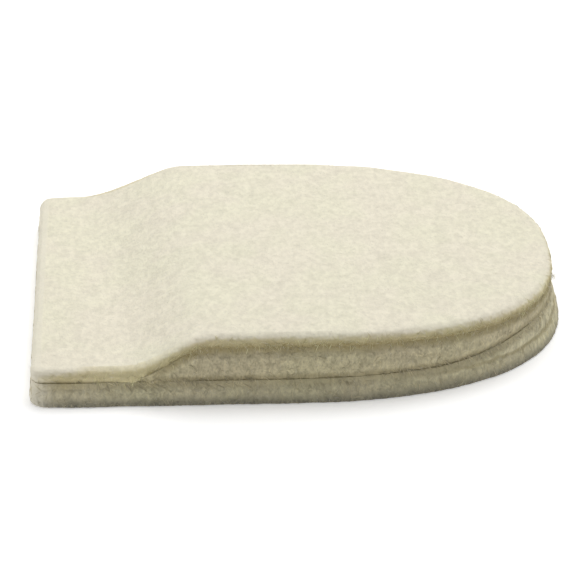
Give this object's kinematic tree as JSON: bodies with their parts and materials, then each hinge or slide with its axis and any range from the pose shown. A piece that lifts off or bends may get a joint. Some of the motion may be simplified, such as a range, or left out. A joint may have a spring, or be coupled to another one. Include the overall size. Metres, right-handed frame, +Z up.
{
  "type": "felt heel cushion pad",
  "caption": "D-shaped cream wool felt heel pad that lies in a shoe, with a thin straight front edge, a ramp and a thick round heel, glued up from plies.",
  "frame": {"origin": "middle of the flat underside, midway between the base ply's front edge and its heel tip", "axes": "+X from the thin front edge to the round heel, +Y across the pad to its left side as the wearer stands, +Z up through the thickness"},
  "size_m": [0.0772, 0.0608, 0.0102],
  "materials": {
    "top_felt": "matte pressed wool felt, cream, the upper face",
    "edge_felt": "matte pressed wool felt, cream, cut edges with loose fibres"
  },
  "bodies": {
    "root": {"top_ply": "top_felt", "middle_ply": "edge_felt", "base_ply": "edge_felt"}
  },
  "joints": []
}
